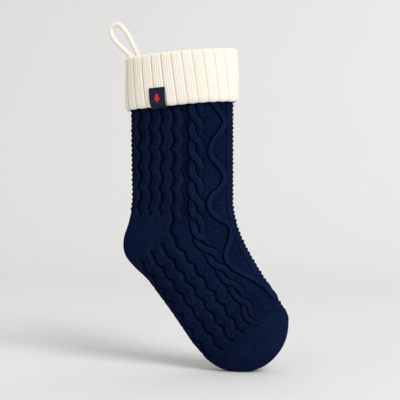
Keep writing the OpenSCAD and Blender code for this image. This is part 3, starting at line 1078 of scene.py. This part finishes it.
def add_cuff():
    """The fold, with its ribs as relief. The back of the hem and the slot stay plain."""
    profile, faced = CUFF_PROFILE
    rows = len(profile)
    place = np.arange(CUFF_AROUND) / CUFF_AROUND * CUFF_PERIMETER
    out, h = profile[:, :1], profile[:, 1:]
    base = cuff_point(np.interp(place, RIM_ARC, RIM_ANGLES)[None, :], out, h)
    normal = unit(np.cross(around(base, 1), around(base, 0)))
    outwards = np.sum(normal[rows // 3] * (base[rows // 3] - [0, 0, 400]), -1).mean()
    normal *= np.sign(outwards)
    outer_h = np.where(np.arange(rows)[:, None] < INNER_ROWS, CUFF_H, h)
    shifted = place[None, :] - FIRST_GROOVE - cuff_lean(place[None, :], outer_h)
    # The grooves grow deeper and their painted shade stronger towards the calf side, which faces
    # away from the key light
    height, painted_groove_shade, wales = rib_relief(shifted, 1 - 0.45 * smoothstep(-20, 50, base[..., 0]))
    amount = np.where(np.arange(rows) < faced, 1.0, 0.0)
    amount[faced - 4:faced] = [0.8, 0.55, 0.3, 0.1]
    height = height * amount[:, None]
    points = base + height[..., None] * normal
    points[..., 2] += 0.35 * np.cos(TAU * shifted / RIB_PITCH) * (amount[:, None] > 0)
    faces = grid_faces(rows, CUFF_AROUND, wrap_rows=True, wrap_columns=True)
    v = np.broadcast_to(path_lengths(profile)[:, None] / COURSE, wales.shape)
    uv, quads = closed_uv(faces, wales, v, WALES * RIBS)
    quads[-1, :, 2:, 1] = quads[-1, :, :2, 1]
    painted_groove_shade = {"painted_groove_shade": (painted_groove_shade * (amount[:, None] > 0)).ravel()}
    cuff = add_mesh("ribbed_cuff_knit", leg_to_frame(points.reshape(-1, 3)), faces, uv, painted_groove_shade)
    dress(cuff, "ivory_rib", "ribbed_cuff")


RIM_ANGLES = np.linspace(0, TAU, 4001)
RIM_ARC = path_lengths(cuff_point(RIM_ANGLES, CUFF_OUT, 0.0))
CUFF_PERIMETER = RIM_ARC[-1]
RIB_PITCH = CUFF_PERIMETER / RIBS
CUFF_PROFILE = cuff_profile()
add_cuff()

# ===== Hanging loop =====
# One knitted cord from its first tail, up, round the loop and down to the second.

CORD_D = 6.6
CORD_ROUTE = [(-65.2, 412), (-65.2, 422), (-65.3, 432), (-66, 438.5), (-67.8, 443.8),
              (-71.4, 447.4), (-76.6, 449.6), (-80.9, 453.6), (-85.4, 458.2), (-90.6, 462.8),
              (-98.7, 471.5), (-104.4, 480), (-106, 488), (-102.6, 493.8), (-96.3, 495.9),
              (-90.5, 493.4), (-86, 488), (-80.2, 480), (-75.6, 471.5), (-71.3, 462.8),
              (-67.4, 455), (-64.6, 448.5), (-61, 442), (-58.8, 435.5), (-58.2, 429),
              (-58.2, 412)]
CORD_WALES = 6
CORD_SIDES = 48
# Length of cord over which its wales turn once round it
CORD_TWIST = 95
CORD_COURSE = 2.3


def add_cord():
    path = flat_path(smooth_path(CORD_ROUTE, 0.55))
    along = path_lengths(path)
    turns = np.arange(CORD_SIDES) / CORD_SIDES + along[:, None] / CORD_TWIST
    wale = turns * CORD_WALES
    row = np.broadcast_to(along[:, None] / CORD_COURSE, wale.shape)
    side = np.abs(wale - np.floor(wale) - 0.5)
    plait = np.cos(TAU * (row + 1.3 * side)) * np.clip(1 - ((side - 0.25) / 0.25) ** 2, 0, 1)
    radius = CORD_D / 2 + 0.25 - 0.32 * bell(0.5 - side, 0.10) + 0.14 * plait
    rings = tube_points(path, radius, CORD_SIDES)
    faces = tube_faces(len(path), CORD_SIDES)
    uv, _ = closed_uv(faces, wale, row, CORD_WALES)
    # Painted shade in the furrows between the cord's wales
    painted_groove_shade = {"painted_groove_shade": 0.6 * bell(0.5 - side, 0.12).ravel()}
    cord = add_mesh("hanging_loop_cord", leg_to_frame(rings.reshape(-1, 3)), faces, uv, painted_groove_shade)
    dress(cord, "ivory_cord", "hanging_loop", "loop_tails", rides=False)
    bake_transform(cord)


add_cord()

# ===== Lining, and the threads inside the cuff =====

LINING_IN = KNIT_T + 0.4
LINING_T = 0.8
LINING_MID = LINING_IN + LINING_T / 2
LINING_THREAD = 0.9


def double_sheet(outer, inner):
    """Faces of a closed sheet between two grids of the same size."""
    rows, columns = outer.shape[:2]
    half = rows * columns
    faces = grid_faces(rows, columns)
    faces += [f[::-1] for f in grid_faces(rows, columns, start=half)]
    edge = [*range(columns), *range(2 * columns - 1, half, columns),
            *range(half - 2, half - columns - 1, -1),
            *range(half - 2 * columns, 0, -columns)]
    for a, b in zip(edge, edge[1:] + edge[:1]):
        faces.append([b, a, a + half, b + half])
    return np.concatenate([outer.reshape(-1, 3), inner.reshape(-1, 3)]), faces


def add_lining(name, node, mirrored):
    rows, columns = 170, 72
    s = np.linspace(0, LAST_ROW, rows)[:, None]
    t = np.sin(np.linspace(-1, 1, columns) * math.pi / 2)[None, :]
    middle = skin(s, t, LINING_IN)
    x, z = middle[..., 0], middle[..., 2]
    crumple = (np.sin(x / 17 + 1.7 * np.sin(z / 31)) * np.sin(z / 23 + x / 40)
               + 0.5 * np.sin(x / 7 + z / 11 + (1.0 if mirrored else 0.0)))
    depth = 0.75 * (1 + crumple) * smoothstep(0, 0.25, 1 - t * t) * smoothstep(0, 1.2, s)
    push = np.maximum(depth, 0)[..., None] * [0, 1, 0]
    points, faces = double_sheet(middle + push, skin(s, t, LINING_IN + LINING_T) + push)
    threads = points[:, [0, 2]] / LINING_THREAD
    if mirrored:
        points = points * [1, -1, 1]
        faces = [f[::-1] for f in faces]
    piece = add_mesh(name, leg_to_frame(points), faces, threads)
    dress(piece, "lining_cloth", node)


add_lining("lining_front_cloth", "lining_front", False)
add_lining("lining_back_cloth", "lining_back", True)


def coil(line, pitch, reach, points_a_turn=8):
    """A thread that winds round a path: reach is its radius in the path's plane and across it."""
    line = resample(line, pitch / points_a_turn)
    t = tangents(line)
    across = np.zeros_like(line)
    across[:, 1] = 1
    beside = np.cross(t, across)
    angle = np.arange(len(line)) / points_a_turn * TAU
    return (line + reach[0] * np.cos(angle)[:, None] * beside
            + reach[1] * np.sin(angle)[:, None] * across)


lining_line = np.concatenate([seam_line(0, 0, LAST_ROW, LINING_MID, 500),
                              seam_line(1, LAST_ROW, 0, LINING_MID, 500)])
add_yarns("lining_overcast_seam", "lining_seam", "lining_thread",
          yarns([coil(flat_path(lining_line), 3.2, (0.5, 1.5))], 0.35))

STITCHES_ROUND = 96
JOIN_H = CUFF_FOOT - SEAM_GAP - 0.1
JOIN_OUT = -SEAM_IN - 1.0
JOIN_R = 0.75


def join_coil():
    angle = circle(STITCHES_ROUND * 9)
    turn = STITCHES_ROUND * angle
    return cuff_point(angle, JOIN_OUT + JOIN_R * np.cos(turn), JOIN_H + JOIN_R * np.sin(turn))


def running_stitches():
    """Stitches of six points round the lining's top, with every seventh point left out."""
    ring = cuff_point(circle(STITCHES_ROUND * 7), -LINING_MID, JOIN_H - 0.3)
    ring = ring.reshape(STITCHES_ROUND, 7, 3)[:, :6]
    ring[:, [0, -1], 2] -= 0.7
    return list(ring)


add_yarns("cuff_join_overcast", "cuff_join_seam", "navy_yarn",
          yarns([join_coil()], 0.5, closed=True))
add_yarns("lining_running_stitch", "lining_top_stitch", "lining_thread",
          yarns(running_stitches(), 0.45))


def tack_paths():
    """Two plies of thread through the loop's tails, and the knot that holds them."""
    z, start, knot_x, ply = 419.0, -71.0, -53.3, 0.3
    along = np.linspace(0, 1, 40)
    paths = []
    for k in (0, 1):
        angle = TAU * (along * 6 + k / 2)
        paths.append(np.stack([start + (knot_x - start) * along, ply * np.cos(angle),
                               z + ply * np.sin(angle)], 1))
    a = np.linspace(0, TAU, 61)[:-1]
    knot = np.stack([0.35 * np.sin(3 * a), (np.cos(a) - 2 * np.cos(2 * a)) / 3,
                     (np.sin(a) + 2 * np.sin(2 * a)) / 3], 1) * 0.85
    return paths, knot + [knot_x, 0, z]


plies, knot = tack_paths()
add_yarns("loop_tack_thread", "loop_tack", "ivory_thread",
          yarns(plies, 0.3, 7) + yarns([knot], 0.5, 8, closed=True))

# ===== Woven label, folded over the cuff's hem =====

LABEL_W, LABEL_H, LABEL_T = 22.0, 26.0, 0.8
LABEL_ANGLE = math.radians(71.8)
LABEL_LEAN = math.tan(math.radians(5))
LABEL_THREAD = 0.55
# The label's section: how far out and how high over the hem, down its face and up behind
LABEL_FACE = [(9.4, LABEL_H), (9.8, 20), (10.1, 14), (10.1, 9), (9.4, 4), (8.1, 0.6),
              (5.6, -1.1), (3.6, -1.1), (2.0, 0.6), (1.1, 3), (0.9, 6), (0.9, 12)]
FACE_POINTS = 6


def label_place(w, f, lift):
    """A point on the label: w to the right of its middle, f down its face, lift above it."""
    line, t = with_tangent(LABEL_FACE, f)
    out = line[..., 0] - lift * t[..., 1]
    h = line[..., 1] + lift * t[..., 0]
    turn = (w - np.maximum(h, 0) * LABEL_LEAN) / (HALF_LEG + CUFF_OUT)
    return cuff_point(LABEL_ANGLE + turn / math.sin(LABEL_ANGLE), out, h)


def add_label():
    f = np.linspace(0, len(LABEL_FACE) - 1, 90)[:, None]
    w = np.linspace(-LABEL_W / 2, LABEL_W / 2, 61)[None, :]
    selvedge = 0.16 * bell(LABEL_W / 2 - np.abs(w) - 0.7, 0.5)
    ripple = 0.12 * np.sin(w / 2.6) * np.sin(f * 1.1)
    face = label_place(w + 0 * f, f + 0 * w, LABEL_T / 2 + selvedge + ripple)
    back = label_place(w + 0 * f, f + 0 * w, ripple - LABEL_T / 2)
    points, faces = double_sheet(face, back)
    down = path_lengths(catmull(LABEL_FACE, f[:, 0]))[:, None]
    u, v = np.broadcast_arrays(w / LABEL_THREAD, down / LABEL_THREAD)
    threads = np.tile(np.stack([u, v], -1).reshape(-1, 2), (2, 1))
    label = add_mesh("woven_label_ribbon", leg_to_frame(points), faces, threads)
    dress(label, "label_ribbon", "woven_label")
    length = path_lengths(catmull(LABEL_FACE, np.linspace(0, len(LABEL_FACE) - 1, 200)))[-1]


def label_h(h):
    """How far down the label's face a height above the hem lies."""
    heights = [-h for _, h in LABEL_FACE[:FACE_POINTS]]
    return np.interp(-np.asarray(h, float), heights, range(FACE_POINTS))


def fir_tree_stitches():
    """Satin stitches that fill a fir tree of three rows of boughs over a trunk."""
    foot, boughs, top, stitch_pitch, trunk_half, shortest = 6.6, 8.5, 19.2, 0.52, 0.9, 0.35
    row_rise, row_height, lowest_half, narrower = 2.6, 4.6, 4.4, 0.9
    paths = []
    for h in np.arange(foot, top, stitch_pitch):
        rise = h - boughs
        half = trunk_half if rise < 0 else 0.0
        for row in range(3):
            up = rise - row_rise * row
            if 0 <= up <= row_height:
                half = max(half, (lowest_half - narrower * row) * (1 - up / row_height))
        if half >= shortest:
            w = np.linspace(-half, half, 7)
            lift = LABEL_T / 2 + 0.1 + 0.35 * np.sqrt(1 - (w / half) ** 4)
            paths.append(label_place(w, label_h(h + 0.05 * w), lift))
    return paths


def sewn_top_stitches():
    """A line of running stitches across the top of the label."""
    count, margin, below_top = 7, 1.5, 1.6
    pitch = (LABEL_W - 2 * margin) / count
    lift = LABEL_T / 2 + np.array([-0.35, 0.15, 0.3, 0.3, 0.15, -0.35])
    paths = []
    for k in range(count):
        w = -LABEL_W / 2 + margin + pitch * (k + np.linspace(0.12, 0.88, 6))
        paths.append(label_place(w, label_h(LABEL_H - below_top + 0 * w), lift))
    return paths


add_label()
add_yarns("label_fir_tree_stitches", "label_emblem", "red_thread",
          yarns(fir_tree_stitches(), 0.3))
add_yarns("label_sewn_stitches", "label_stitch", "label_thread", yarns(sewn_top_stitches(), 0.3))

# ===== Floor, backdrop and lights =====


def add_sweep():
    """A floor that curves up into a wall behind, in metres."""
    radius, front, back, half, top = 1.2, -4.0, 2.6, 5.0, 5.0
    profile = [(front, 0.0)] + [(y, 0.0) for y in np.linspace(-3.5, back - radius, 12)]
    for a in np.linspace(0, 90, 25)[1:]:
        c = math.radians(a)
        profile.append((back - radius + radius * math.sin(c), radius - radius * math.cos(c)))
    profile.append((back, top))
    points = [(x, y, TOE_Z + z) for x in (-half, half) for y, z in profile]
    sweep = add_mesh("studio_sweep", points, grid_faces(2, len(profile)))
    s = Shader("studio_paper", specular=0.1)
    s.set("Roughness", 0.95)
    pale, paler = colours((0.748, 0.751, 0.754), (0.761, 0.764, 0.767))
    s.set("Base Color", s.blend(s.noise(6.0, 3.0), pale, paler))
    assign(sweep, s.material)


LIT = Vector((LEG_X, 0, TOE_Z + 0.25))


def from_leg(right, front, up):
    """A place in metres from the middle of the stocking, as the camera sees it."""
    return LIT + right * CAMERA_RIGHT + front * CAMERA_BACK + up * Vector((0, 0, 1))


def add_light(name, place, target, size, power, colour=(1, 1, 1)):
    data = bpy.data.lights.new(name, "AREA")
    data.shape = "DISK"
    data.size = size
    data.energy = power
    data.color = colour
    light = add_object(name, data)
    light.location = place
    light.rotation_euler = (target - place).to_track_quat("-Z", "Y").to_euler()


def add_world():
    world = bpy.data.worlds.new("studio")
    world.use_nodes = True
    background = world.node_tree.nodes["Background"]
    background.inputs["Color"].default_value = (1, 0.965, 0.905, 1)
    background.inputs["Strength"].default_value = 0.615
    bpy.context.scene.world = world


add_sweep()
add_light("key", from_leg(3.37, 4.48, 4.22), LIT, 3.8, 372, (0.94, 0.957, 1.0))
add_light("fill", from_leg(-1.6, 1.8, 0.6), LIT, 1.6, 2.0)
add_light("wall", from_leg(-2.6, 0.4, 1.2), from_leg(-2.3, -2.4, 0.2), 1.6, 3.5)
add_world()
bpy.context.scene.view_settings.view_transform = "Standard"
bpy.context.scene.view_settings.look = "None"
